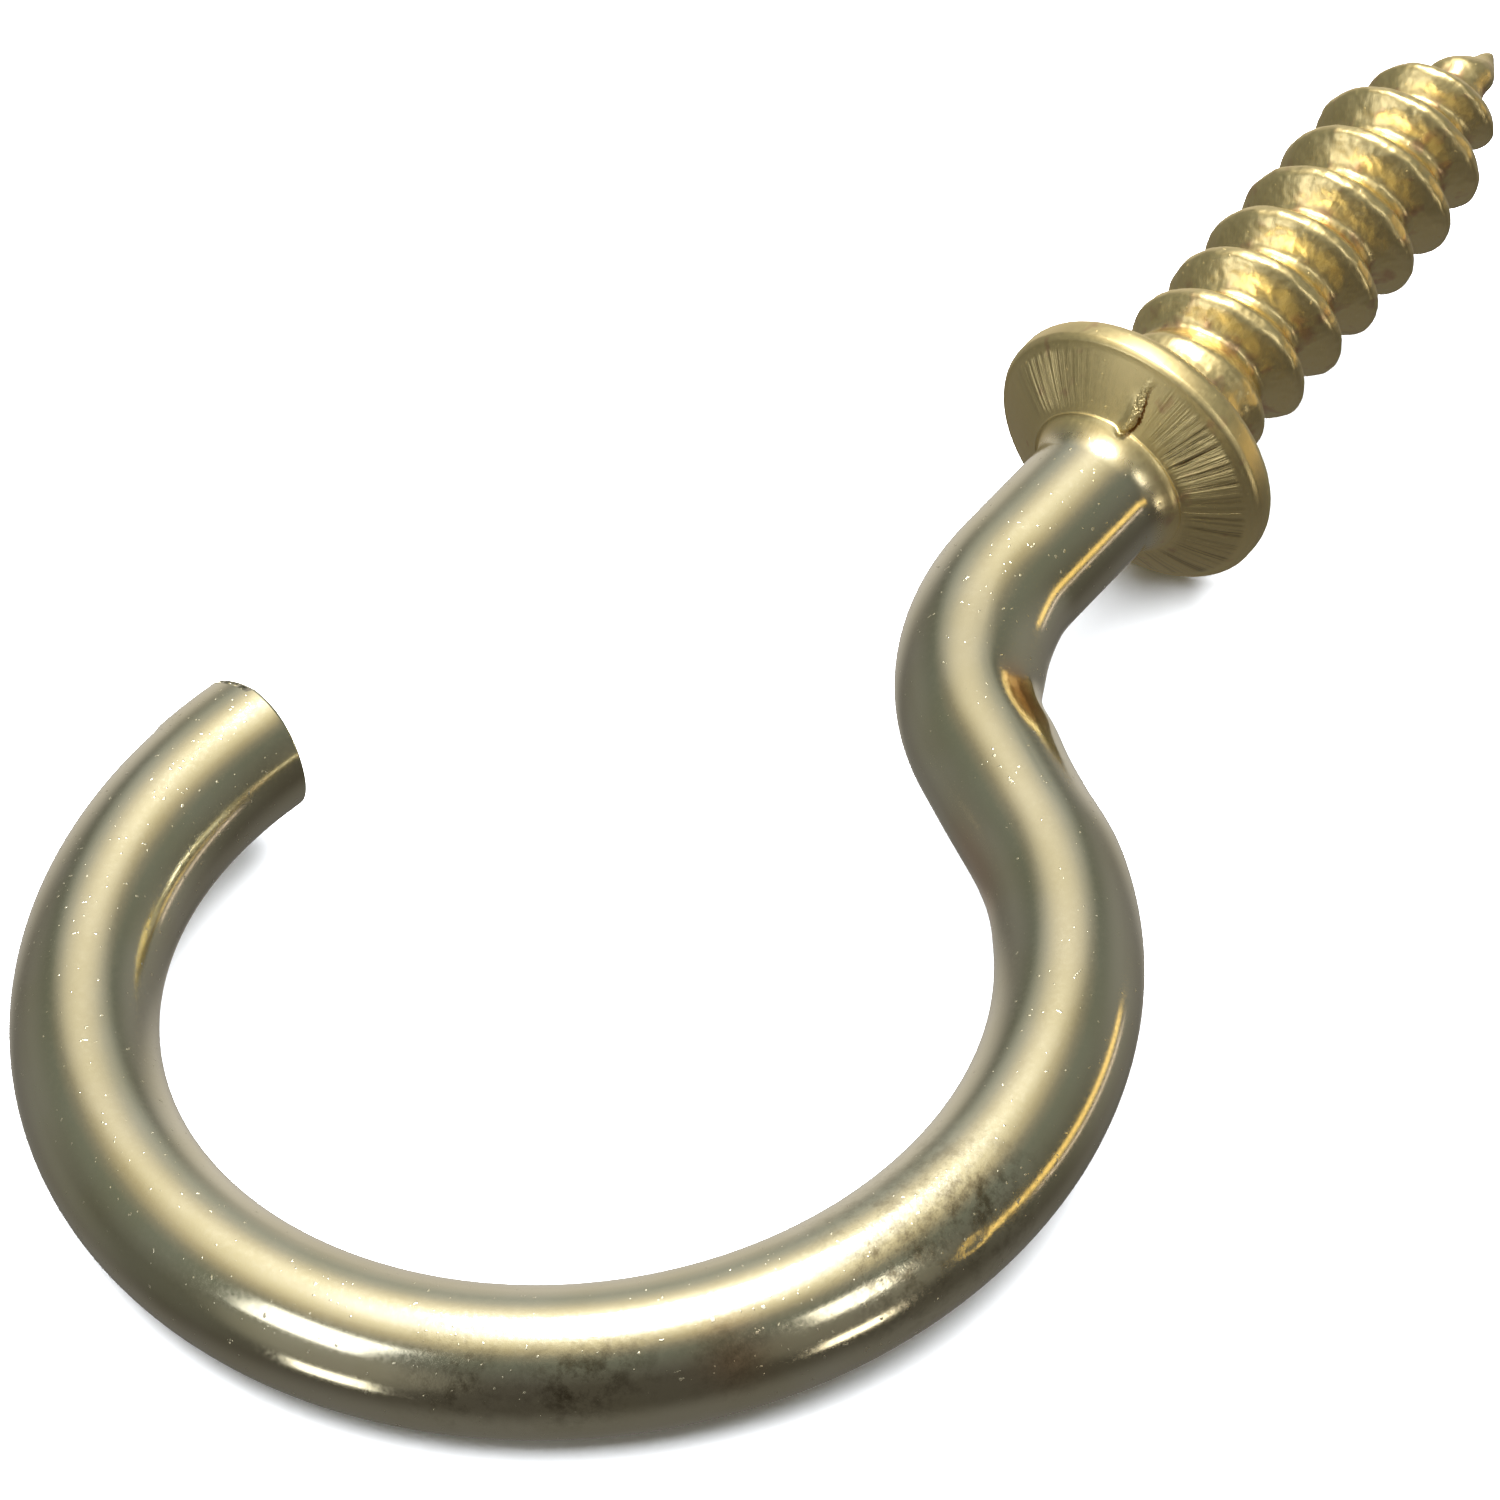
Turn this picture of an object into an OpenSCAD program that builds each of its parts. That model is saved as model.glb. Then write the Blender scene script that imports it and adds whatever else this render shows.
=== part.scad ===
// Cup hook: a bent wire hook with an upset collar and a rolled wood-screw thread.
// One solid. Millimetres.
// Frame: the origin is the middle of the collar's flat seat, on the screw's own axis.
// +X runs out along the screw to its point, +Z is up, and the hook lies as it comes to
// rest, on the collar's rim and the far end of its bowl, so +X is tilted up a little.

/* [Wire] */
// Diameter of the wire
wire_d = 3.2; // [2.9:0.05:3.5]
// Straight shank from the collar's rim to the first bend
shank_len = 4.05; // [3:0.05:7]
// Lean of the shank from the screw's axis, degrees
shank_lean = 2.3; // [0:0.1:4]
// Centreline radius of the first bend
elbow_r = 5.7; // [4.6:0.1:7]
// Angle of the first bend, degrees
elbow_ang = 57.6; // [50:0.1:64]
// Straight run between the first bend and the bowl
arm_len = 2.75; // [0.5:0.05:6]
// Centreline radius of the bowl
bowl_r = 10.5; // [8:0.1:13]
// Angle the bowl turns through, degrees
bowl_ang = 246.2; // [220:0.2:256]
// Straight run at the cut tip
tip_len = 0.8; // [0.5:0.05:3]
// Rounding of the cut tip's edge
tip_round = 0.32; // [0.1:0.02:0.7]

/* [Collar] */
// Diameter of the collar
collar_d = 6.8; // [6.2:0.1:8]
// Thickness of the collar at its rim
rim_t = 1; // [0.8:0.05:1.3]
// Rounding of the rim's edge towards the hook
rim_round = 0.16; // [0.1:0.02:0.3]
// Rounding of the rim's edge at the seat
seat_round = 0.34; // [0.1:0.02:0.45]
// Rise of the hub above the rim
hub_rise = 0.65; // [0.3:0.05:1]
// Diameter of the hub where the collar's cone ends
hub_d = 3.75; // [3.7:0.05:4.2]

/* [Screw] */
// Diameter over the thread's crests
thread_d = 4.05; // [3.8:0.05:4.4]
// Diameter at the thread's root
root_d = 2.75; // [2.5:0.05:3]
// Pitch of the single right-hand thread
pitch = 1.535; // [1.2:0.005:1.8]
// Turn of the thread about the screw's axis, degrees
thread_turn = 36; // [0:1:359]
// Length of the screw from the seat to its point
screw_len = 14.5; // [12:0.1:20]
// Length of the tapered point
point_len = 4.1; // [3:0.1:5]
// Diameter of the plain neck, which the rollers leave as it was
neck_d = 3.5; // [3.1:0.05:3.7]
// Length of the plain neck from the seat
neck_len = 1.2; // [1:0.05:2.4]
// Length over which the thread grows out of the neck
run_in = 1.3; // [0.8:0.05:2]

/* [Hidden] */
wire_r = wire_d / 2;
root_r = root_d / 2;
crest_r = thread_d / 2;
collar_r = collar_d / 2;
lap = 0.05;                  // the straight runs reach this far into the bends
straight_r = wire_r + 0.006; // and are this much fuller, so that they swallow the bends' ends
seat_clear = 0.15;           // the neck's fillet ends this far outside the crests
fillet_h = 0.12;             // height of the neck's fillet above the seat
flare_len = 0.95;            // length of the flare from the hub down to the wire
flare_in = 0.1;              // the flare ends this far inside the leaning wire
blank_r = neck_d / 2;
neck_r = blank_r + 0.02;     // the neck is a hair fuller than the thread that grows out of it
neck_lap = 0.25;             // and overlaps it by this much
neck_in = 0.2;               // the neck's end dives this far into the thread
segs = 24;                   // facets round the thread
rings_per_turn = 8;

// Where the wire's pieces begin, in the hook's own plane: [x, y, heading].
function ahead(p, len) = [p[0] + len * cos(p[2]), p[1] + len * sin(p[2]), p[2]];
function turned(p, r, a) = let (s = sign(a), h = p[2] + a)
  [p[0] + s * r * (sin(h) - sin(p[2])), p[1] - s * r * (cos(h) - cos(p[2])), h];
function turn_centre(p, r, s) = [p[0] - s * r * sin(p[2]), p[1] + s * r * cos(p[2])];

at_hub = [-(rim_t + hub_rise), 0, 180 - shank_lean];
at_elbow = ahead(at_hub, shank_len - hub_rise);
at_arm = turned(at_elbow, elbow_r, elbow_ang);
at_bowl = ahead(at_arm, arm_len);
at_tip = turned(at_bowl, bowl_r, -bowl_ang);
bowl_centre = turn_centre(at_bowl, bowl_r, -1);

// The floor touches the rim's rounded edge towards the hook and the far end of the bowl, which are
// two circles in the vertical plane, so the tilt is that of their lower common tangent.
rest_span = bowl_r - bowl_centre[0] - (rim_t - rim_round);
rest_drop = collar_r - rim_round;
rest_tilt = atan2(rest_drop, rest_span) - asin((wire_r - rim_round) / norm([rest_span, rest_drop]));

module straight(p, len) {
  translate([p[0], p[1], 0]) rotate([0, 0, p[2]]) rotate([0, 90, 0])
    translate([0, 0, -lap]) cylinder(r = straight_r, h = len + 2 * lap, $fn = 96);
}

module bend(p, r, a) {
  s = sign(a);
  c = turn_centre(p, r, s);
  first = s > 0 ? p[2] - 90 : p[2] + 90 + a;
  translate([c[0], c[1], 0]) rotate([0, 0, first])
    rotate_extrude(angle = abs(a), $fn = 240) translate([r, 0]) circle(r = wire_r, $fn = 96);
}

// The cut tip: its rounded edge is a quarter circle turned round the wire's axis.
module cut_tip(p, len) {
  translate([p[0], p[1], 0]) rotate([0, 0, p[2]]) rotate([0, 90, 0])
    rotate_extrude($fn = 96) {
      translate([0, -lap]) square([straight_r, len + lap - tip_round]);
      square([straight_r - tip_round, len]);
      translate([straight_r - tip_round, len - tip_round]) circle(r = tip_round, $fn = 48);
    }
}

module wire() {
  straight(at_hub, shank_len - hub_rise);
  bend(at_elbow, elbow_r, elbow_ang);
  straight(at_arm, arm_len);
  bend(at_bowl, bowl_r, -bowl_ang);
  cut_tip(at_tip, tip_len);
}

// The collar's half section: flat seat, rounded rim, shallow cone, hub and flare.
module collar() {
  hub_r = hub_d / 2;
  front = collar_r - rim_round;
  back = collar_r - seat_round;
  top = rim_t + hub_rise;
  rotate([0, -90, 0]) rotate_extrude($fn = 120) {
    polygon([[0, 0], [back, 0], [back, rim_t / 2], [front, rim_t / 2], [front, rim_t], [hub_r, top],
      [hub_r - 0.12, top + 0.1], [straight_r - flare_in, top + flare_len], [0, top + flare_len]]);
    translate([0, seat_round]) square([collar_r, rim_t - rim_round - seat_round]);
    translate([back, seat_round]) circle(r = seat_round, $fn = 48);
    translate([front, rim_t - rim_round]) circle(r = rim_round, $fn = 48);
  }
}

// The plain neck grows into the collar through a small fillet cone.
module neck() {
  rotate([0, 90, 0]) rotate_extrude($fn = 96)
    polygon([[0, -rim_t / 2], [crest_r + seat_clear, -rim_t / 2], [crest_r + seat_clear, 0],
      [neck_r + fillet_h, fillet_h], [neck_r, 3 * fillet_h], [neck_r, neck_len - neck_lap],
      [neck_r - neck_in, neck_len], [0, neck_len]]);
}

// Radius of the core and height of the crest at a distance from the seat.
function core_at(x) = let (u = (screw_len - x) / point_len)
  u >= 1 ? root_r : root_r * pow(max(u, 0), 0.85);
function lead_in(x) = min(1, max(0, (x - neck_len) / run_in));
function lead_out(x) = min(1, max(0, (screw_len - 0.2 - x) / (0.55 * point_len)));
function rib(w) = w < 0.06 ? 1 : w > 0.42 ? 0 : (0.42 - w) / 0.36;
function surface_at(x, a) =
  let (t = x / pitch - (a + thread_turn) / 360, w = abs(t - floor(t) - 0.5), b = lead_in(x))
  (1 - b) * blank_r + b * (core_at(x) + (crest_r - root_r) * rib(w) * lead_out(x));

module thread() {
  start = neck_len - 2 * neck_lap;
  end = screw_len - 0.12;
  n = ceil((end - start) / pitch * rings_per_turn);
  rings = [for (i = [0:n]) let (x = start + (end - start) * i / n)
    [for (k = [0:segs - 1]) let (a = 360 * k / segs, r = surface_at(x, a)) [x, r * cos(a), r * sin(a)]]];
  body = [for (i = [0:n]) each rings[i]];
  first = len(body);
  walls = [for (i = [0:n - 1], k = [0:segs - 1]) let (a = i * segs, b = a + segs, m = (k + 1) % segs)
    each [[a + k, b + k, b + m], [a + k, b + m, a + m]]];
  cap = [for (k = [0:segs - 1]) [first, k, (k + 1) % segs]];
  tip = [for (k = [0:segs - 1]) [first + 1, n * segs + (k + 1) % segs, n * segs + k]];
  polyhedron(points = concat(body, [[start, 0, 0], [screw_len, 0, 0]]),
    faces = concat(walls, cap, tip), convexity = 12);
}

module cup_hook() {
  color([0.80, 0.68, 0.42]) rotate([0, -rest_tilt, 0]) {
    wire();
    collar();
    neck();
    thread();
  }
}

cup_hook();
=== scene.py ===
# %% [markdown]
# # A cup hook in brass-plated wire
#
# A cup hook is one piece of wire. A press upsets a collar on it, rollers squeeze a wood-screw
# thread into one end, and the other end is bent into a bowl. This notebook builds the looks of
# that one piece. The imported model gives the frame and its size, and every length below is a
# real size in millimetres.

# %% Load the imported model
import math
import bpy
import numpy as np
from mathutils import Matrix, Vector


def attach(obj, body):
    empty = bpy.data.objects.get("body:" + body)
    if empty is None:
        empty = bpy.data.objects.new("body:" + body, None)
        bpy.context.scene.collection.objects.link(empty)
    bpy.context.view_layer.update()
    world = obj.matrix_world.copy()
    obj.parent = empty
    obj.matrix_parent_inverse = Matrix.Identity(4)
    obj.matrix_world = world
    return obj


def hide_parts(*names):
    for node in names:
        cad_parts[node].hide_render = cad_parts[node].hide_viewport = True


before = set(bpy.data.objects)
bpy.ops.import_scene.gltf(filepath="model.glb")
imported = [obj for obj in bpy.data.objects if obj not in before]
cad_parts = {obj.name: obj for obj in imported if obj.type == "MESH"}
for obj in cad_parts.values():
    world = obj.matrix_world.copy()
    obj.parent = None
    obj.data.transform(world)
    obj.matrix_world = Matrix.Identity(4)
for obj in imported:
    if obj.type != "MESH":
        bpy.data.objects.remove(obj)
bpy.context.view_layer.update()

print("packed nodes:", sorted(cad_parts))

# %% [markdown]
# ## Two small helpers
#
# Colours are written as the hex values that a paint chart would show, and one function turns
# them to the linear values that shaders work in. The other adds a node to a tree with its
# settings and links in one call, so that a tree reads from top to bottom like a recipe.

# %% Colour and node helpers
def linear(hex_code):
    """The linear RGBA of an sRGB hex colour."""
    parts = [int(hex_code[i:i + 2], 16) / 255 for i in (1, 3, 5)]
    return [p / 12.92 if p <= 0.04045 else ((p + 0.055) / 1.055) ** 2.4 for p in parts] + [1.0]


def add(tree, kind, inputs=None, **settings):
    """Adds a node and returns its outputs. settings are its properties. inputs gives each
    input, by name or number, a value or another node's output to be linked to."""
    node = tree.nodes.new(kind)
    for key, value in settings.items():
        setattr(node, key, value)
    for key, value in (inputs or {}).items():
        if isinstance(value, bpy.types.NodeSocket):
            tree.links.new(value, node.inputs[key])
        else:
            node.inputs[key].default_value = value
    return node.outputs


print("pale brass is", [round(c, 3) for c in linear("#E7DCB8")])

# %% [markdown]
# ## The wire's sizes and path
#
# A wire former bends to a drawing: straight, bend, straight, bend. The path could be a Bezier
# curve drawn by eye, but then the bends would not be true. Here it is walked in small steps
# from the collar's hub to the cut tip, each run with its own length and its own turn per
# millimetre.

# %% Walk the hook's centreline
wire_r = 1.6
shank_len, shank_lean = 4.05, math.radians(2.3)
elbow_r, elbow_turn = 5.7, math.radians(57.6)
arm_len = 2.75
bowl_r, bowl_turn = 10.5, math.radians(246.2)
tip_len, tip_round = 0.8, 0.14
rim_t, hub_rise = 1.0, 0.65
ring_step = 0.2


def walk(start, runs, step):
    """Points [x, y, heading] along runs of (length, turn per mm), about step apart."""
    x, y, heading = start
    points = [(x, y, heading)]
    for length, turn in runs:
        count = max(1, math.ceil(length / step))
        d = length / count
        for _ in range(count):
            middle = heading + turn * d / 2
            x, y, heading = x + d * math.cos(middle), y + d * math.sin(middle), heading + turn * d
            points.append((x, y, heading))
    return points


hub_x = -(rim_t + hub_rise)
flare_len, flare_steps = 0.75, 12
hub_walk = walk((hub_x, 0.0, math.pi - shank_lean), [(flare_len, 0.0)], flare_len / flare_steps)
hook_walk = walk(hub_walk[-1], [
    (shank_len - hub_rise - flare_len, 0.0),
    (elbow_r * elbow_turn, 1 / elbow_r),
    (arm_len, 0.0),
    (bowl_r * bowl_turn, -1 / bowl_r),
    (tip_len - tip_round, 0.0),
], ring_step)
print(len(hook_walk), "rings from the flare to the tip, which ends at",
      [round(v, 2) for v in hook_walk[-1][:2]])

# %% [markdown]
# ## How thick the piece is along the way
#
# Everything on this piece is round in section, so a list of rings describes it: where each ring
# stands, and its radius. The cut end is rounded where the shears pushed the metal over. The
# flare, the fine lip round the hub, the shallow cone, the crisp rim and the flat seat are what
# the heading die left. Then come the fillet, the plain neck and the tapered core of the screw.

# %% Rings of the cut end and the flare
face_radii, face_r, face_bulge = (0.03, 0.3, 0.6, 0.85, 1.1, 1.3), 1.5, 0.004


def cut_end_rings(end):
    """The nearly flat face from its middle outwards, then its rounded edge."""
    x, y, heading = end
    out = [(tip_round + face_bulge * (face_r - r), r) for r in face_radii]
    for a in np.radians(np.linspace(88, 0, 9)):
        out.append((tip_round * math.sin(a), wire_r - tip_round + tip_round * math.cos(a)))
    return [(x + d * math.cos(heading), y + d * math.sin(heading), r) for d, r in out]


lip_r, flare_power = 1.88, 2.1
flare_rings = []
for i, (x, y, _) in enumerate(reversed(hub_walk[1:-1])):
    share = (i + 1) / (len(hub_walk) - 1)
    flare_rings.append((x, y, wire_r + (lip_r - wire_r) * share ** flare_power))
print(len(cut_end_rings(hook_walk[-1])), "rings at the cut,", len(flare_rings), "in the flare")

# %% Rings of the collar
collar_r, cone_r = 3.4, 3.27
lip_round, seat_round = 0.04, 0.34
crest_r, root_r, blank_r = 2.025, 1.375, 1.75


def arc(x, r, size, first, last, count):
    """Points on a quarter or less of a circle of that size about (x, r), angles in degrees."""
    return [(x + size * math.cos(a), r + size * math.sin(a))
            for a in np.radians(np.linspace(first, last, count))]


lip = arc(hub_x + 0.03, lip_r - 0.005, lip_round, 150, 35, 5)
cone_start = (hub_x + 0.085, lip_r + 0.05)
cone_edge_x, cone_bulge = -rim_t + 0.2, 0.03
cone = [(cone_start[0] + (cone_edge_x - cone_start[0]) * u - cone_bulge * math.sin(math.pi * u),
         cone_start[1] + (cone_r - cone_start[1]) * u) for u in np.linspace(0, 1, 14)]
shoulder = [(cone_edge_x + 0.09 * u ** 2.2 + 0.03 * u, cone_r + (collar_r - 0.02 - cone_r) * u)
            for u in np.linspace(0.15, 1, 7)]
rim_x = shoulder[-1][0] + 0.03
rim = [(rim_x, collar_r - 0.006), (rim_x + 0.04, collar_r)]
seat_edge = arc(-seat_round, collar_r - seat_round, seat_round, 90, 2, 9)
seat_inner, fillet_len = crest_r + 0.15, 0.33
seat = [(0.0006 * i, collar_r - seat_round - (collar_r - seat_round - seat_inner) * i / 5)
        for i in range(1, 6)]
fillet = [(0.05 + fillet_len * u, blank_r + (seat_inner - blank_r) * (1 - u) ** 3)
          for u in np.linspace(0.1, 1, 6)]
collar_rings = [(x, 0.0, r) for x, r in lip + cone + shoulder + rim + seat_edge + seat + fillet]
print(len(collar_rings), "rings make the collar")

# %% Rings of the screw's core
screw_len, point_len = 14.5, 4.1
neck_len, run_in, blunt = 1.2, 1.3, 0.3
thread_step = 0.055


def core_radius(x):
    """The plain neck, which shrinks to the rolled core, then the taper to a blunt point."""
    taper = min(1.0, (screw_len + blunt - x) / (point_len + blunt))
    dome = max(0.0, (x - screw_len + blunt) / blunt)
    rolled = root_r * taper ** 0.9 * math.sqrt(max(0.0, 1 - dome ** 2))
    share = min(1.0, max(0.0, (x - neck_len) / run_in))
    return blank_r + (rolled - blank_r) * share


first_x = fillet[-1][0] + thread_step
count = math.ceil((screw_len - first_x) / thread_step)
screw_rings = [(x, 0.0, core_radius(x)) for x in np.linspace(first_x, screw_len - 0.03, count)]
screw_rings += [(x, 0.0, core_radius(x)) for x in (screw_len - 0.015, screw_len - 0.004)]
screw_rings += [(screw_len - 0.001, 0.0, 0.012)]
rings = cut_end_rings(hook_walk[-1]) + [(x, y, wire_r) for x, y, _ in reversed(hook_walk)]
rings += flare_rings + collar_rings + screw_rings
print(len(screw_rings), "rings in the screw,", len(rings), "in all")

# %% [markdown]
# ## Sweep the tube and roll the thread with Geometry Nodes
#
# The rings go into a plain chain of points that carries each ring's radius. The node tree turns
# the chain into a curve, sweeps a circle along it, and then pushes the surface out along a
# helix, as rolling dies do. The thread could be a second curve joined by a boolean, but moving
# the surface gives one closed skin with the soft roots and thin crests of rolled metal. Each
# size of the thread is a named input.

# %% The chain of ring centres
def chain_object(name, rings):
    mesh = bpy.data.meshes.new(name)
    points = [(x, y, 0.0) for x, y, _ in rings]
    mesh.from_pydata(points, [(i, i + 1) for i in range(len(points) - 1)], [])
    steps = [0.0] + [math.dist(a, b) for a, b in zip(points, points[1:])]
    for key, values in (("ring_radius", [r for _, _, r in rings]), ("along", np.cumsum(steps))):
        mesh.attributes.new(key, "FLOAT", "POINT").data.foreach_set("value", list(values))
    obj = bpy.data.objects.new(name, mesh)
    bpy.context.collection.objects.link(obj)
    return obj


chain = chain_object("wire_chain", rings)
print("chain of", len(chain.data.vertices), "points")

# %% The tree's named inputs
tree = bpy.data.node_groups.new("sweep wire and roll thread", "GeometryNodeTree")
sizes = {
    "Sides": ("NodeSocketInt", 144),
    "Pitch": ("NodeSocketFloat", 1.535),
    "Crest Height": ("NodeSocketFloat", crest_r - root_r),
    "Crest Width": ("NodeSocketFloat", 0.03),
    "Root Width": ("NodeSocketFloat", 0.47),
    "Turn": ("NodeSocketFloat", 0.1),
    "Thread Start": ("NodeSocketFloat", neck_len),
    "Run In": ("NodeSocketFloat", run_in),
    "Thread End": ("NodeSocketFloat", screw_len - 0.2),
    "Run Out": ("NodeSocketFloat", 0.55 * point_len),
    "Raggedness": ("NodeSocketFloat", 0.12),
}
tree.interface.new_socket("Geometry", in_out="INPUT", socket_type="NodeSocketGeometry")
for name, (kind, value) in sizes.items():
    tree.interface.new_socket(name, in_out="INPUT", socket_type=kind).default_value = value
tree.interface.new_socket("Metal", in_out="INPUT", socket_type="NodeSocketMaterial")
tree.interface.new_socket("Geometry", in_out="OUTPUT", socket_type="NodeSocketGeometry")
inp = add(tree, "NodeGroupInput")
print("inputs:", ", ".join(sizes))

# %% Sweep a circle along the chain
MATH, VMATH, RANGE = "ShaderNodeMath", "ShaderNodeVectorMath", "ShaderNodeMapRange"
STORE = "GeometryNodeStoreNamedAttribute"
spot = add(tree, "GeometryNodeInputPosition")[0]
path = add(tree, "GeometryNodeMeshToCurve", {"Mesh": inp["Geometry"]})
path = add(tree, "GeometryNodeSetCurveNormal", {"Curve": path[0]}, mode="Z_UP")
circle = add(tree, "GeometryNodeCurvePrimitiveCircle", {"Resolution": inp["Sides"]})
circle = add(tree, STORE, {"Geometry": circle[0], "Name": "around", "Value": spot},
             data_type="FLOAT_VECTOR")
radius = add(tree, "GeometryNodeInputNamedAttribute", {"Name": "ring_radius"}, data_type="FLOAT")
tube = add(tree, "GeometryNodeCurveToMesh", {
    "Curve": path[0], "Profile Curve": circle[0], "Scale": radius[0], "Fill Caps": True})
print("swept with", len(tree.nodes), "nodes so far")

# %% Find how near each point is to the helix
place = add(tree, "ShaderNodeSeparateXYZ", {"Vector": spot})
angle = add(tree, MATH, {0: place["Z"], 1: place["Y"]}, operation="ARCTAN2")
turns = add(tree, MATH, {0: angle[0], 1: math.tau}, operation="DIVIDE")
turns = add(tree, MATH, {0: turns[0], 1: inp["Turn"]}, operation="ADD")
lead = add(tree, MATH, {0: place["X"], 1: inp["Pitch"]}, operation="DIVIDE")
phase = add(tree, MATH, {0: lead[0], 1: turns[0]}, operation="SUBTRACT")
phase = add(tree, MATH, {0: phase[0]}, operation="FRACT")
off_crest = add(tree, MATH, {0: phase[0], 1: 0.5}, operation="SUBTRACT")
off_crest = add(tree, MATH, {0: off_crest[0]}, operation="ABSOLUTE")
rib = add(tree, RANGE, {"Value": off_crest[0], "From Min": inp["Root Width"],
                        "From Max": inp["Crest Width"]}, interpolation_type="SMOOTHSTEP")
print("the rib is 1 on the crest and 0 in the root")

# %% Push the crests out, less at both ends
full_at = add(tree, MATH, {0: inp["Thread Start"], 1: inp["Run In"]}, operation="ADD")
begin = add(tree, RANGE, {"Value": place["X"], "From Min": inp["Thread Start"],
                          "From Max": full_at[0]})
fade_at = add(tree, MATH, {0: inp["Thread End"], 1: inp["Run Out"]}, operation="SUBTRACT")
end = add(tree, RANGE, {"Value": place["X"], "From Min": inp["Thread End"],
                        "From Max": fade_at[0]})
grit = add(tree, "ShaderNodeTexNoise", {"Vector": spot, "Scale": 1.9, "Detail": 3.0})
wear = add(tree, MATH, {0: grit[0], 1: 0.5}, operation="SUBTRACT")
height = add(tree, MATH, {0: wear[0], 1: inp["Raggedness"], 2: inp["Crest Height"]},
             operation="MULTIPLY_ADD")
for factor in (rib, begin, end):
    height = add(tree, MATH, {0: height[0], 1: factor[0]}, operation="MULTIPLY")
outward = add(tree, "ShaderNodeCombineXYZ", {"Y": place["Y"], "Z": place["Z"]})
outward = add(tree, VMATH, {0: outward[0]}, operation="NORMALIZE")
push = add(tree, VMATH, {0: outward[0], "Scale": height[0]}, operation="SCALE")
on_screw = add(tree, MATH, {0: place["X"], 1: inp["Thread Start"]}, operation="GREATER_THAN")
skin = add(tree, "GeometryNodeSetPosition", {
    "Geometry": tube[0], "Selection": on_screw[0], "Offset": push[0]})
skin = add(tree, STORE, {"Geometry": skin[0], "Name": "rib", "Value": rib[0]}, data_type="FLOAT")
skin = add(tree, "GeometryNodeSetShadeSmooth", {0: skin[0]})
skin = add(tree, "GeometryNodeRealizeInstances", {0: skin[0]})
skin = add(tree, "GeometryNodeSetMaterial", {"Geometry": skin[0], "Material": inp["Metal"]})
add(tree, "NodeGroupOutput", {0: skin[0]})
print("the tree has", len(tree.nodes), "nodes")

# %% Turn the result into a plain mesh
brass = bpy.data.materials.new("yellow brass plate on drawn wire")
sweep = chain.modifiers.new("sweep", "NODES")
sweep.node_group = tree
sockets = {item.name: item.identifier for item in tree.interface.items_tree}
sweep[sockets["Metal"]] = brass
graph = bpy.context.evaluated_depsgraph_get()
skin = bpy.data.meshes.new_from_object(chain.evaluated_get(graph))
bpy.data.objects.remove(chain)
points = np.empty(len(skin.vertices) * 3)
skin.vertices.foreach_get("co", points)
points = points.reshape(-1, 3)
along, rib_at = np.empty(len(points)), np.empty(len(points))
skin.attributes["along"].data.foreach_get("value", along)
skin.attributes["rib"].data.foreach_get("value", rib_at)
print(len(points), "points,", len(skin.polygons), "faces")

# %% [markdown]
# ## The marks of making and handling
#
# Nothing this cheap leaves the press without marks. The shears that cut the tip left a slanted
# face with one sharp corner and one that is rolled over. The bending pin pressed a small flat
# inside each bend, and the heading die folded the metal of the cone into a short crease. These
# could be sculpted by hand, but each one is a soft push on the points near a spot, so a few
# lines of arithmetic do it and the sizes stay readable.

# %% Slant the cut tip
tip_x, tip_y, tip_heading = hook_walk[-1]
ahead = np.array([math.cos(tip_heading), math.sin(tip_heading), 0.0])
inward = np.array([math.sin(tip_heading), -math.cos(tip_heading), 0.0])
from_tip = points - np.array([tip_x, tip_y, 0.0])
at_tip = np.clip((from_tip @ ahead + 0.9) / 1.2, 0, 1) ** 2 * (along < 4)
across = from_tip @ inward / wire_r
slant = 0.1 + 0.2 * (np.clip(across, -1, 1) + 1) / 2 + 0.3 * np.clip(across - 0.25, 0, 1) ** 2
slant += 0.3 * np.clip(-across, 0, 1)
points -= np.outer(at_tip * slant, ahead)
burr_size, burr_len = 0.07, 1.95
burr = np.clip(-across, 0, 1) ** 2
burr *= np.clip((from_tip @ ahead + burr_len) / 0.2, 0, 1) * (along < 5)
points -= np.outer(burr * burr_size, inward)
print("the tip is cut back by up to", round(float((at_tip * slant).max()), 2), "mm")

# %% Press flats inside the bends
def press(points, centre, normal, run, long, wide, depth):
    """Pushes the points near centre in by depth. Returns how much each one was touched."""
    normal, run = np.array(normal), np.array(run)
    normal, run = normal / np.linalg.norm(normal), run / np.linalg.norm(run)
    side = np.cross(normal, run)
    away = points - np.array(centre)
    touch = np.exp(-np.abs(away @ run / long) ** 3 - np.abs(away @ side / wide) ** 3)
    touch *= (away @ normal > -1.2) * (np.linalg.norm(away, axis=1) < 3 * long)
    points -= np.outer(depth * touch, normal)
    return touch


arm_run = (-0.65, -0.76, 0)
pin = press(points, (-8.95, -2.68, 1.1), (0.5, -0.42, 0.76), arm_run, 0.95, 0.42, 0.07)
flat = press(points, (-13.3, -4.2, 0.2), (-0.75, 0.65, 0.1), arm_run, 1.5, 0.75, 0.06)
# By length along the wire from the collar. A negative depth is a swell.
for distance, long, depth in ((5.2, 1.2, -0.11), (7.7, 0.7, 0.05), (10.6, 1.4, 0.10)):
    x, y, heading = hook_walk[round(distance / ring_step)]
    inside = np.array([-math.sin(heading), math.cos(heading), 0.0])
    press(points, np.array([x, y, 0.0]) + wire_r * inside, inside,
          (math.cos(heading), math.sin(heading), 0.0), long, 1.3, depth)
press(points, (-22.4, -10.2, 0.7), (-0.15, -0.86, 0.48), (-0.86, 0.15, 0), 0.3, 0.12, 0.02)
print("flats pressed on", int((pin + flat > 0.2).sum()), "points")

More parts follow.
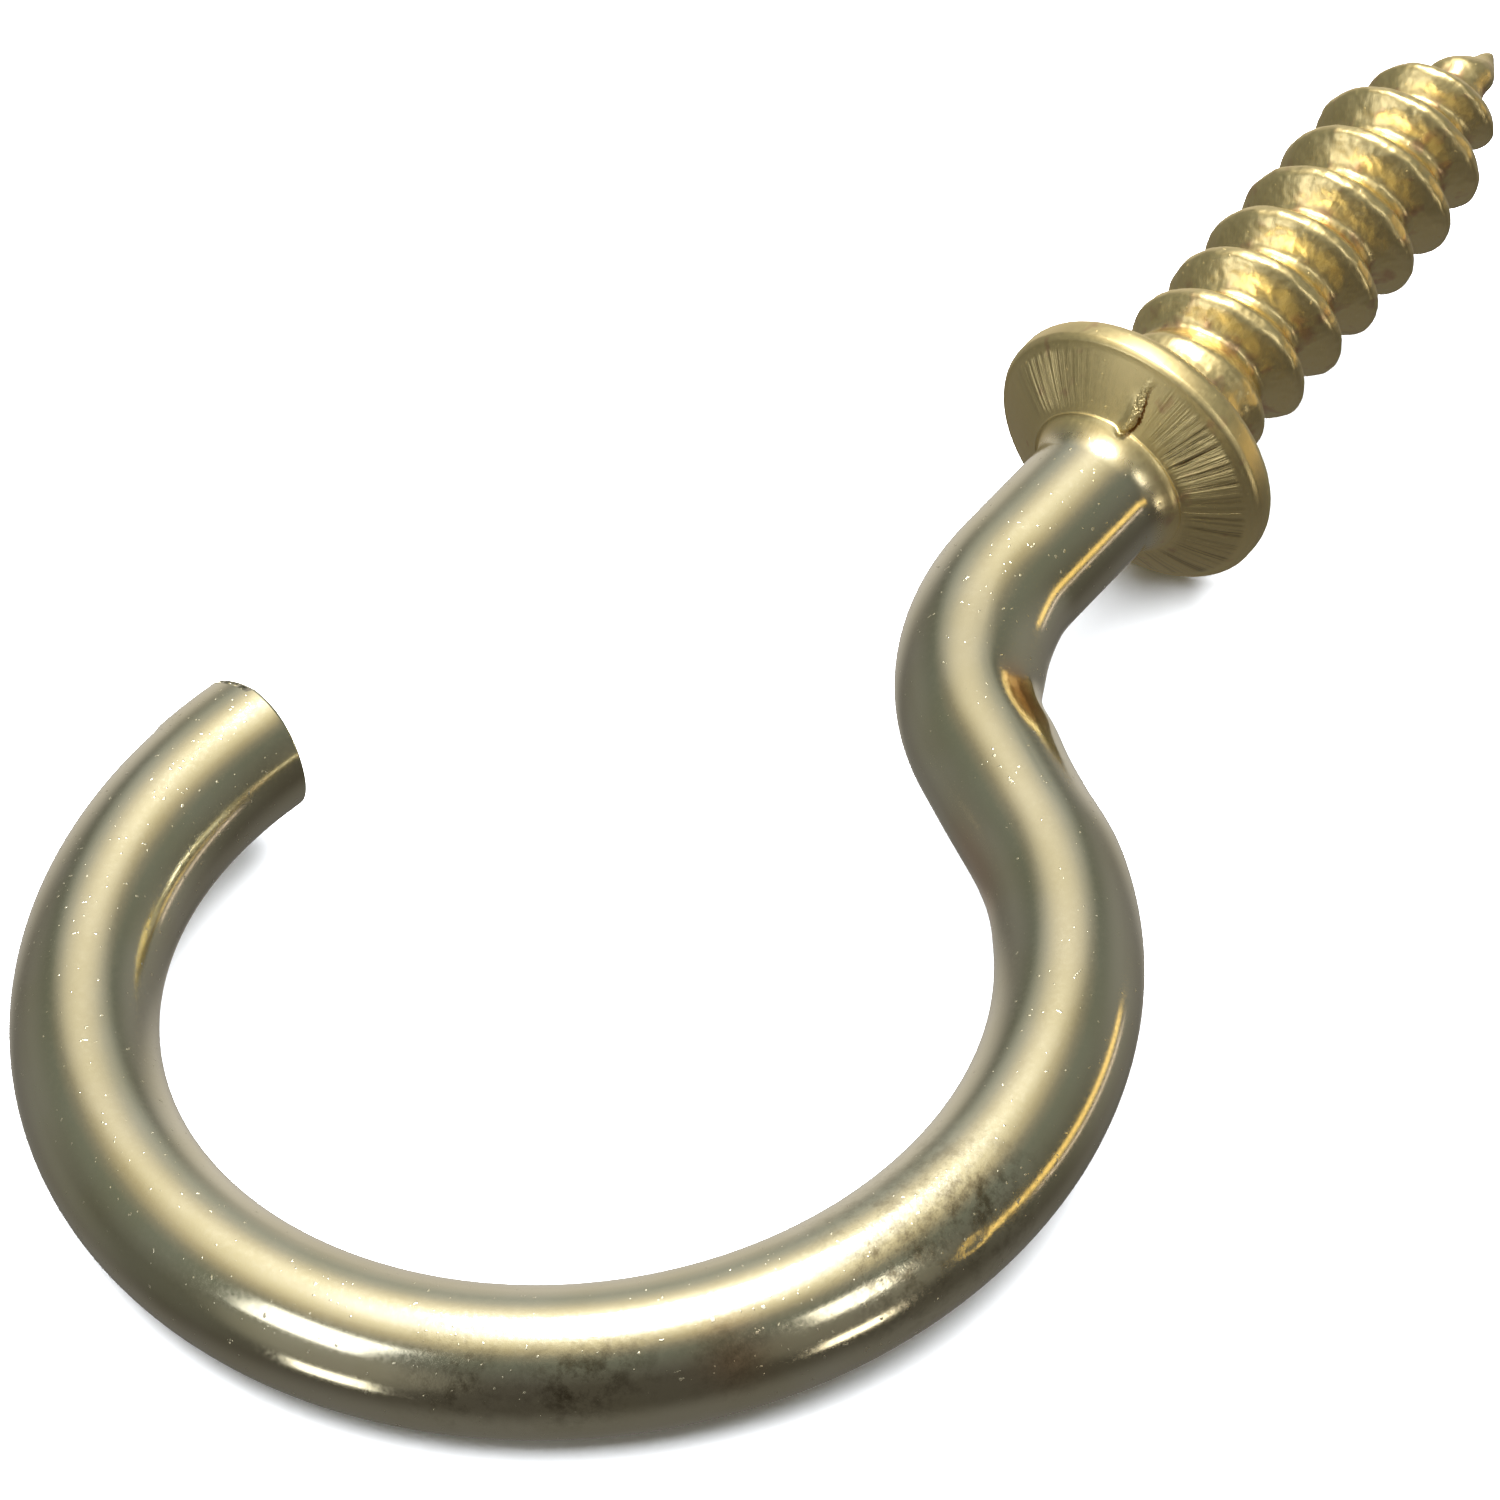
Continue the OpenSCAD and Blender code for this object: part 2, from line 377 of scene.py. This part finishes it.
# %% Fold the crease in the cone
fold_at, groove_depth, ridge_height = math.radians(110), 0.03, 0.16
radius = np.hypot(points[:, 1], points[:, 2])
bearing_x = np.arctan2(points[:, 2], points[:, 1])
on_cone = (points[:, 0] > hub_x - 0.12) & (points[:, 0] < -rim_t + 0.1)
off_fold = radius * (bearing_x - fold_at) + 0.07 * np.sin(5 * radius)
reach = np.clip((3.1 - radius) / 0.5, 0, 1) * np.clip((radius - 1.8) / 0.15, 0, 1) * on_cone
groove = np.exp(-(off_fold / 0.09) ** 2) * reach
ridge = np.exp(-((off_fold + 0.17) / 0.11) ** 2) * reach * np.clip((2.75 - radius) / 0.5, 0, 1)
points[:, 0] += groove_depth * groove - ridge_height * ridge
print("the fold is", round(float((groove_depth * groove).max()), 2), "mm deep")

# %% [markdown]
# ## Where the finish differs
#
# Plating is thin, so the finish follows the history of each place. The collar and the screw
# were squeezed hard and took a deeper gold than the drawn wire. Handling left a few dark and
# rough patches on the bowl, and the bending pin rubbed through to a coppery layer. Each of
# these is stored on the mesh as a value from 0 to 1, so the material can mix by it and the
# pattern stays with the metal from every side. The crack in the fold is finer than the mesh,
# so the distance to its middle is stored as well, and the material draws the crack from it,
# with painted shade inside it.

# %% Store the masks on the mesh
def bump_at(centre, size):
    """1 at a spot of the wire's surface and less away from it, over size mm."""
    return np.exp(-(np.linalg.norm(points - np.array(centre), axis=1) / size) ** 2)


masks = {
    "gold": np.clip((points[:, 0] + 2.35) / 0.6, 0, 1) * (radius < 4),
    "copper": np.clip(pin + 0.55 * flat + 0.6 * bump_at((-27.6, -7.9, 0.9), 0.7), 0, 1),
    "stain": (0.8 * bump_at((-30.9, -3.2, 0.9), 0.9) + 0.8 * bump_at((-29.9, -5.3, 0.8), 0.8)
              + 0.5 * bump_at((-27.6, -7.8, 0.9), 0.8) + 0.8 * bump_at((-23.9, -9.3, 1.2), 1.2)
              + 0.5 * bump_at((-29.1, -6.1, 1.1), 0.8) + 0.8 * bump_at((-21.7, -9.9, 1.3), 1.3)),
    "root": np.clip(1 - 1.6 * rib_at, 0, 1) * np.clip((points[:, 0] - 0.2) / 0.8, 0, 1),
    "fold": reach,
    "fold_side": (off_fold + 1) / 2,
    "scuffed": (bump_at((-18.5, 12.0, 1.2), 3.0) + 0.8 * bump_at((-24.0, 11.5, 1.2), 3.0)
                + 0.8 * bump_at((-6.5, 0.6, 1.2), 2.2) + 0.6 * bump_at((-26.0, -8.5, 1.2), 3.0)
                + 0.4 * bump_at((-30.0, 4.0, 1.2), 5.0)),
    "scored": on_cone * np.clip((radius - 1.95) / 0.25, 0, 1) * sum(
        share * np.exp(-(np.degrees(bearing_x - math.radians(where)) / spread) ** 2)
        for where, spread, share in ((150, 20, 1.0), (48, 16, 0.6), (-150, 60, 0.5))),
}
for key, values in masks.items():
    skin.attributes.new(key, "FLOAT", "POINT").data.foreach_set("value", np.clip(values, 0, 1))
print({key: round(float(values.mean()), 4) for key, values in masks.items()})

# %% [markdown]
# ## Lay it down and hang it on the frame
#
# The hook lies on the collar's rim and on the far end of its bowl, so its axis tilts by a few
# degrees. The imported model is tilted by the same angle. From here on the mesh is in metres.

# %% Turn it as it lies
cad_rim_round = 0.16
span = -min(x for x, _, _ in hook_walk) - (rim_t - cad_rim_round)
drop = collar_r - cad_rim_round
rest_tilt = math.atan2(drop, span)
rest_tilt -= math.asin((wire_r - cad_rim_round) / math.hypot(span, drop))
tilted = points @ np.array(Matrix.Rotation(-rest_tilt, 3, "Y")).T
skin.vertices.foreach_set("co", (tilted / 1000).ravel())
skin.update()
hook = bpy.data.objects.new("cup_hook_metal", skin)
bpy.context.collection.objects.link(hook)
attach(hook, "root")
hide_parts("cup_hook")
print("rest tilt", round(math.degrees(rest_tilt), 3), "degrees")

# %% [markdown]
# ## Brass plate
#
# Yellow brass plated on steel wire: a satin mirror. Its colour is all in the reflection, so the
# metal is fully metallic, and what the eye reads as a worn surface is the roughness and the tiny
# bumps that break the reflection up. Noise textures are used at sizes measured in millimetres,
# because they have no seams and no light of their own, and stay sharp however near one comes.

# %% Coordinates in millimetres
brass.use_nodes = True
tree = brass.node_tree
tree.nodes.clear()
NOISE, RAMP, ATTR = "ShaderNodeTexNoise", "ShaderNodeMapRange", "ShaderNodeAttribute"
spot = add(tree, "ShaderNodeTexCoord")["Object"]
spot = add(tree, VMATH, {0: spot, "Scale": 1000.0}, operation="SCALE")[0]
run = add(tree, ATTR, attribute_name="along")["Fac"]
turn = add(tree, ATTR, attribute_name="around")["Vector"]
turn = add(tree, "ShaderNodeSeparateXYZ", {0: turn})
lines_long, lines_round = 0.25, 22.0
drawn = add(tree, "ShaderNodeCombineXYZ", {
    "X": add(tree, MATH, {0: run, 1: lines_long}, operation="MULTIPLY")[0],
    "Y": add(tree, MATH, {0: turn[0], 1: lines_round}, operation="MULTIPLY")[0],
    "Z": add(tree, MATH, {0: turn[1], 1: lines_round}, operation="MULTIPLY")[0]})[0]
gold = add(tree, ATTR, attribute_name="gold")["Fac"]
root = add(tree, ATTR, attribute_name="root")["Fac"]
stain = add(tree, ATTR, attribute_name="stain")["Fac"]
copper = add(tree, ATTR, attribute_name="copper")["Fac"]
fold = add(tree, ATTR, attribute_name="fold")["Fac"]
fold_side = add(tree, ATTR, attribute_name="fold_side")["Fac"]
scored = add(tree, ATTR, attribute_name="scored")["Fac"]
scuffed = add(tree, ATTR, attribute_name="scuffed")["Fac"]
print("drawing lines run", round(1 / lines_long, 1), "mm long")

# %% Noise that the finish is made of
# Each scale is a count of waves in a millimetre, so 9 gives a grit of about 0.11 mm.
grit_per_mm, cloud_per_mm, blotch_per_mm, dent_per_mm, peak_per_mm = 9.0, 0.45, 2.3, 1.5, 7.5
fine = add(tree, NOISE, {
    "Vector": spot, "Scale": grit_per_mm, "Detail": 4.0, "Roughness": 0.6})[0]
cloud = add(tree, NOISE, {"Vector": spot, "Scale": cloud_per_mm, "Detail": 2.0})[0]
lines = add(tree, NOISE, {"Vector": drawn, "Scale": 1.0, "Detail": 4.0, "Roughness": 0.65})[0]
blotch = add(tree, NOISE, {
    "Vector": spot, "Scale": blotch_per_mm, "Detail": 5.0, "Roughness": 0.7})[0]
dents = add(tree, NOISE, {
    "Vector": spot, "Scale": dent_per_mm, "Detail": 2.0, "Roughness": 0.55})[0]
peaks = add(tree, NOISE, {"Vector": spot, "Scale": peak_per_mm, "Detail": 1.0})[0]
few = add(tree, MATH, {0: scuffed, 1: -0.045, 2: 0.725}, operation="MULTIPLY_ADD")[0]
many = add(tree, MATH, {0: few, 1: 0.07}, operation="ADD")[0]
speck = add(tree, RAMP, {"Value": peaks, "From Min": few, "From Max": many},
            interpolation_type="SMOOTHSTEP")[0]
print("specks are about", round(0.5 / peak_per_mm, 2), "mm across")

# %% Colour: pale on the wire, deeper gold on the collar and screw, browner in the roots
MIX = "ShaderNodeMix"
tint = add(tree, RAMP, {"Value": cloud, "From Min": 0.35, "From Max": 0.65})[0]
pale = add(tree, MIX, {0: tint, 6: linear("#EFEAD2"), 7: linear("#E9E3C6")}, data_type="RGBA")[2]
in_root = add(tree, MATH, {0: root, 1: 0.16, 2: dents}, operation="MULTIPLY_ADD")[0]
in_root = add(tree, RAMP, {"Value": in_root, "From Min": 0.62, "From Max": 0.76})[0]
deep = add(tree, MIX, {0: in_root, 6: linear("#FDEAB0"), 7: linear("#E8C69A")}, data_type="RGBA")[2]
colour = add(tree, MIX, {0: gold, 6: pale, 7: deep}, data_type="RGBA")[2]
rubbed = add(tree, MATH, {0: copper, 1: 0.6}, operation="MULTIPLY")[0]
colour = add(tree, MIX, {0: rubbed, 6: colour, 7: linear("#F0AE74")}, data_type="RGBA")[2]
dirt = add(tree, RAMP, {"Value": blotch, "From Min": 0.45, "From Max": 0.63})[0]
dirt = add(tree, MATH, {0: dirt, 1: stain}, operation="MULTIPLY")[0]
colour = add(tree, MIX, {0: dirt, 6: colour, 7: linear("#6E5F42")}, data_type="RGBA")[2]
ditch = add(tree, RAMP, {"Value": lines, "From Min": 0.5, "From Max": 0.36})[0]
ditch = add(tree, MATH, {0: ditch, 1: scored}, operation="MULTIPLY")[0]
colour = add(tree, MIX, {0: ditch, 6: colour, 7: linear("#6A5026")}, data_type="RGBA")[2]
print("the material has", len(tree.nodes), "nodes so far")

# %% The thin crack with its painted shade, and the proud edge of the fold
# The stored value is (distance + 1) / 2, so a difference of 0.03 is 0.06 mm.
crack_half = 0.03
aside = add(tree, MATH, {0: fold_side, 1: 0.5}, operation="SUBTRACT")[0]
aside = add(tree, MATH, {0: fine, 1: 0.1, 2: aside}, operation="MULTIPLY_ADD")[0]
aside = add(tree, MATH, {0: aside, 1: 0.05}, operation="SUBTRACT")[0]
crack_and_shade = add(tree, MATH, {0: aside}, operation="ABSOLUTE")[0]
crack_and_shade = add(tree, RAMP, {
    "Value": crack_and_shade, "From Min": crack_half, "From Max": 0.008, "To Max": fold})[0]
edge = add(tree, MATH, {0: aside, 1: 0.065}, operation="ADD")[0]
edge = add(tree, MATH, {0: edge}, operation="ABSOLUTE")[0]
edge = add(tree, RAMP, {"Value": edge, "From Min": 0.05, "From Max": 0.0, "To Max": fold})[0]
# The crack's dark brown is painted shade inside the crack; its small depth is in the relief below.
colour = add(tree, MIX, {0: crack_and_shade, 6: colour, 7: linear("#8A5C28")}, data_type="RGBA")[2]
print("the crack is about", round(2 * 2 * crack_half, 2), "mm wide with its slopes")

# %% Roughness and fine relief
rough = add(tree, RAMP, {"Value": fine, "From Min": 0.3, "From Max": 0.7,
                         "To Min": 0.1, "To Max": 0.2})[0]
rough = add(tree, MATH, {0: dirt, 1: 0.15, 2: rough}, operation="MULTIPLY_ADD")[0]
spot_x = add(tree, "ShaderNodeSeparateXYZ", {0: spot})[0]
worked = add(tree, RAMP, {"Value": spot_x, "From Min": -0.2, "From Max": 0.4,
                          "To Min": 0.25, "To Max": 0.21})[0]
rough = add(tree, MATH, {0: gold, 1: worked, 2: rough}, operation="MULTIPLY_ADD")[0]
rough = add(tree, MATH, {0: speck, 1: 0.3, 2: rough}, operation="MULTIPLY_ADD")[0]
# Heights are in millimetres: drawing lines, grit of the patches, specks, rolled dents.
speck_high, dent_high, crack_deep, edge_high = 0.004, 0.08, 0.012, 0.05
scratch = add(tree, RAMP, {"Value": gold, "To Min": 0.0003, "To Max": 0.004})[0]
scratch = add(tree, MATH, {0: scored, 1: 0.2, 2: scratch}, operation="MULTIPLY_ADD")[0]
relief = add(tree, MATH, {0: lines, 1: 0.5}, operation="SUBTRACT")[0]
relief = add(tree, MATH, {0: relief, 1: scratch}, operation="MULTIPLY")[0]
grain = add(tree, RAMP, {"Value": stain, "To Min": 0.0004, "To Max": 0.005})[0]
relief = add(tree, MATH, {0: fine, 1: grain, 2: relief}, operation="MULTIPLY_ADD")[0]
relief = add(tree, MATH, {0: speck, 1: speck_high, 2: relief}, operation="MULTIPLY_ADD")[0]
lumps = add(tree, RAMP, {"Value": spot_x, "From Min": 0.0, "From Max": 0.6,
                         "To Max": dent_high})[0]
relief = add(tree, MATH, {0: dents, 1: lumps, 2: relief}, operation="MULTIPLY_ADD")[0]
relief = add(tree, MATH, {0: crack_and_shade, 1: -crack_deep, 2: relief}, operation="MULTIPLY_ADD")[0]
relief = add(tree, MATH, {0: edge, 1: edge_high, 2: relief}, operation="MULTIPLY_ADD")[0]
bump = add(tree, "ShaderNodeBump", {"Height": relief, "Distance": 0.001, "Strength": 1.0})[0]
shader = add(tree, "ShaderNodeBsdfPrincipled", {
    "Base Color": colour, "Metallic": 1.0, "Roughness": rough, "Normal": bump})
add(tree, "ShaderNodeOutputMaterial", {"Surface": shader[0]})
print("specks stand", speck_high, "mm proud")

# %% [markdown]
# ## The sheet it lies on
#
# A plain white sheet. Seen in the metal, a bright sheet would fill the whole underside of the
# wire with white, so the mirror rays pass through it and meet the dim room instead, as they
# would if the hook hung in the air with the sheet far behind it.

# %% White sheet
floor_z = -(collar_r - cad_rim_round) * math.cos(rest_tilt) - cad_rim_round
floor_z -= (rim_t - cad_rim_round) * math.sin(rest_tilt)
half = 1.5  # metres
mesh = bpy.data.meshes.new("floor")
corners = [(-half, -half), (half, -half), (half, half), (-half, half)]
mesh.from_pydata([(x, y, floor_z / 1000) for x, y in corners], [], [(0, 1, 2, 3)])
floor = bpy.data.objects.new("floor", mesh)
bpy.context.collection.objects.link(floor)
floor.visible_glossy = False
sheet = bpy.data.materials.new("matt white sheet")
sheet.use_nodes = True
tree = sheet.node_tree
tree.nodes.clear()
shader = add(tree, "ShaderNodeBsdfPrincipled", {"Base Color": linear("#FAFAFA"), "Roughness": 0.9})
add(tree, "ShaderNodeOutputMaterial", {"Surface": shader[0]})
mesh.materials.append(sheet)
print("floor at", round(floor_z, 3), "mm")

# %% [markdown]
# ## Camera
#
# The camera looks down on the hook from the side of the bowl's back, with a long lens, so
# that the bowl stays nearly as round as it is.

# %% Camera
aim = Vector((-0.01204, 0.00248, -0.0012))
bearing, elevation, roll = math.radians(-143.1), math.radians(42.84), math.radians(-3.34)
distance = 0.23854
lens = bpy.data.cameras.new("camera")
lens.lens, lens.sensor_width = 263.5, 36.0
lens.clip_start, lens.clip_end = 0.01, 10
camera = bpy.data.objects.new("camera", lens)
bpy.context.collection.objects.link(camera)
back = Vector((math.cos(elevation) * math.cos(bearing), math.cos(elevation) * math.sin(bearing),
               math.sin(elevation)))
turn = back.to_track_quat("Z", "Y").to_matrix() @ Matrix.Rotation(roll, 3, "Z")
camera.matrix_world = Matrix.Translation(aim + back * distance) @ turn.to_4x4()
bpy.context.scene.camera = camera
print("camera", round(distance * 1000), "mm away")

# %% [markdown]
# ## Light
#
# Metal shows what stands round it. Two windows at the sides, and the same windows seen again
# in the table top, draw the narrow bright lines. The bright part of the ceiling draws the broad
# soft band along the top of the wire, and a small strong window in it gives the thread its
# glints. The dim room between them draws the olive-grey bands. Two low cards at the side draw
# the warm lines on the shank, and one lamp lights only the sheet, to keep it white.

# %% Windows, cards and the lamp for the sheet
def toward(rel_az, el):
    """Direction from the hook, with 0 degrees towards the camera and up to the right."""
    a = bearing + math.radians(rel_az)
    e = math.radians(el)
    return Vector((math.cos(e) * math.cos(a), math.cos(e) * math.sin(a), math.sin(e)))


def softbox(name, rel_az, el, far, wide, high, radiance, colour, glossy=True):
    data = bpy.data.lights.new(name, "AREA")
    data.shape = "RECTANGLE"
    data.size = 2 * far * math.tan(math.radians(wide / 2))
    data.size_y = 2 * far * math.tan(math.radians(high / 2))
    data.energy = radiance * math.pi * data.size * data.size_y
    data.color = linear(colour)[:3]
    obj = bpy.data.objects.new(name, data)
    bpy.context.collection.objects.link(obj)
    way = toward(rel_az, el)
    turn = way.to_track_quat("Z", "Y").to_matrix().to_4x4()
    obj.matrix_world = Matrix.Translation(aim + way * far) @ turn
    obj.visible_glossy = glossy
    return obj


softbox("window left", -56, 32.5, 0.7, 22, 23, 1.9, "#FFFFFF")
softbox("window right", 45, 27, 0.7, 14, 18, 2.3, "#FFFAF0")
softbox("ceiling window", 180, 83, 0.7, 9, 26, 32.0, "#FFFFFF")
softbox("left window in the table", -48, -20, 0.7, 14, 12, 2.2, "#FFFCF0")
softbox("right window in the table", 45, -18, 0.7, 12, 9, 3.2, "#FFF4E0")
softbox("warm card", 92, -3, 0.5, 50, 6.5, 1.2, "#FFD67A")
softbox("pink card", 100, -11.5, 0.5, 34, 2, 1.2, "#FFE8DC")
softbox("sheet lamp", 180, 80, 0.8, 90, 90, 8.0, "#F4F8FF", glossy=False)

# %% The room
# The ramp runs by the angle from the brightest point of the ceiling, and each glow is a soft
# round patch: bearing, height, inner and outer angle, strength and colour.
world = bpy.data.worlds.new("studio dome")
world.use_nodes = True
tree = world.node_tree
tree.nodes.clear()
way = add(tree, "ShaderNodeTexCoord")["Generated"]
up = add(tree, VMATH, {0: way, 1: toward(-170, 83)}, operation="DOT_PRODUCT")["Value"]
ramp = add(tree, "ShaderNodeValToRGB", {"Fac": up})
stops = [(0.0, "#423F3A"), (75, "#504F4A"), (65, "#585953"), (54, "#5F625B"), (44, "#78756A"),
         (34, "#A89E86"), (24, "#D8CFB4"), (20, "#ECE4CF"), (15, "#FFFFFF")]
bar = ramp[0].node.color_ramp.elements
bar[0].color = linear(stops[0][1])
bar[-1].position, bar[-1].color = math.cos(math.radians(stops[-1][0])), linear(stops[-1][1])
for degrees, code in stops[1:-1]:
    bar.new(math.cos(math.radians(degrees))).color = linear(code)
glows = [(180, -14, 8, 42, 0.36, "#FFF8F0"), (180, 42, 5, 35, 0.18, "#FFFFFF"),
         (100, 4, 10, 45, 0.03, "#F4FFE4"), (-95, 4, 10, 50, 0.03, "#ECFFE4"),
         (-48, 5, 5, 28, 0.12, "#FFFBE8"), (45, 6, 5, 28, 0.08, "#FFFBE8"),
         (-135, -18, 10, 45, 0.06, "#FFFFFF"), (135, -12, 10, 42, 0.08, "#FFFFFF"),
         (0, -90, 20, 60, 0.05, "#FFFFFF")]
light = ramp[0]
for az, el, inner, outer, strength, code in glows:
    near = add(tree, VMATH, {0: way, 1: toward(az, el)}, operation="DOT_PRODUCT")["Value"]
    near = add(tree, RANGE, {"Value": near, "From Min": math.cos(math.radians(outer)),
                             "From Max": math.cos(math.radians(inner)), "To Max": strength},
               interpolation_type="SMOOTHSTEP")[0]
    colour = add(tree, VMATH, {0: linear(code)[:3], "Scale": near}, operation="SCALE")[0]
    light = add(tree, VMATH, {0: light, 1: colour}, operation="ADD")[0]
sky = add(tree, "ShaderNodeBackground", {"Color": light, "Strength": 1.4})
add(tree, "ShaderNodeOutputWorld", {"Surface": sky[0]})
bpy.context.scene.world = world
bpy.context.scene.view_settings.view_transform = "Standard"
print("room:", len(stops), "bands and", len(glows), "glows")
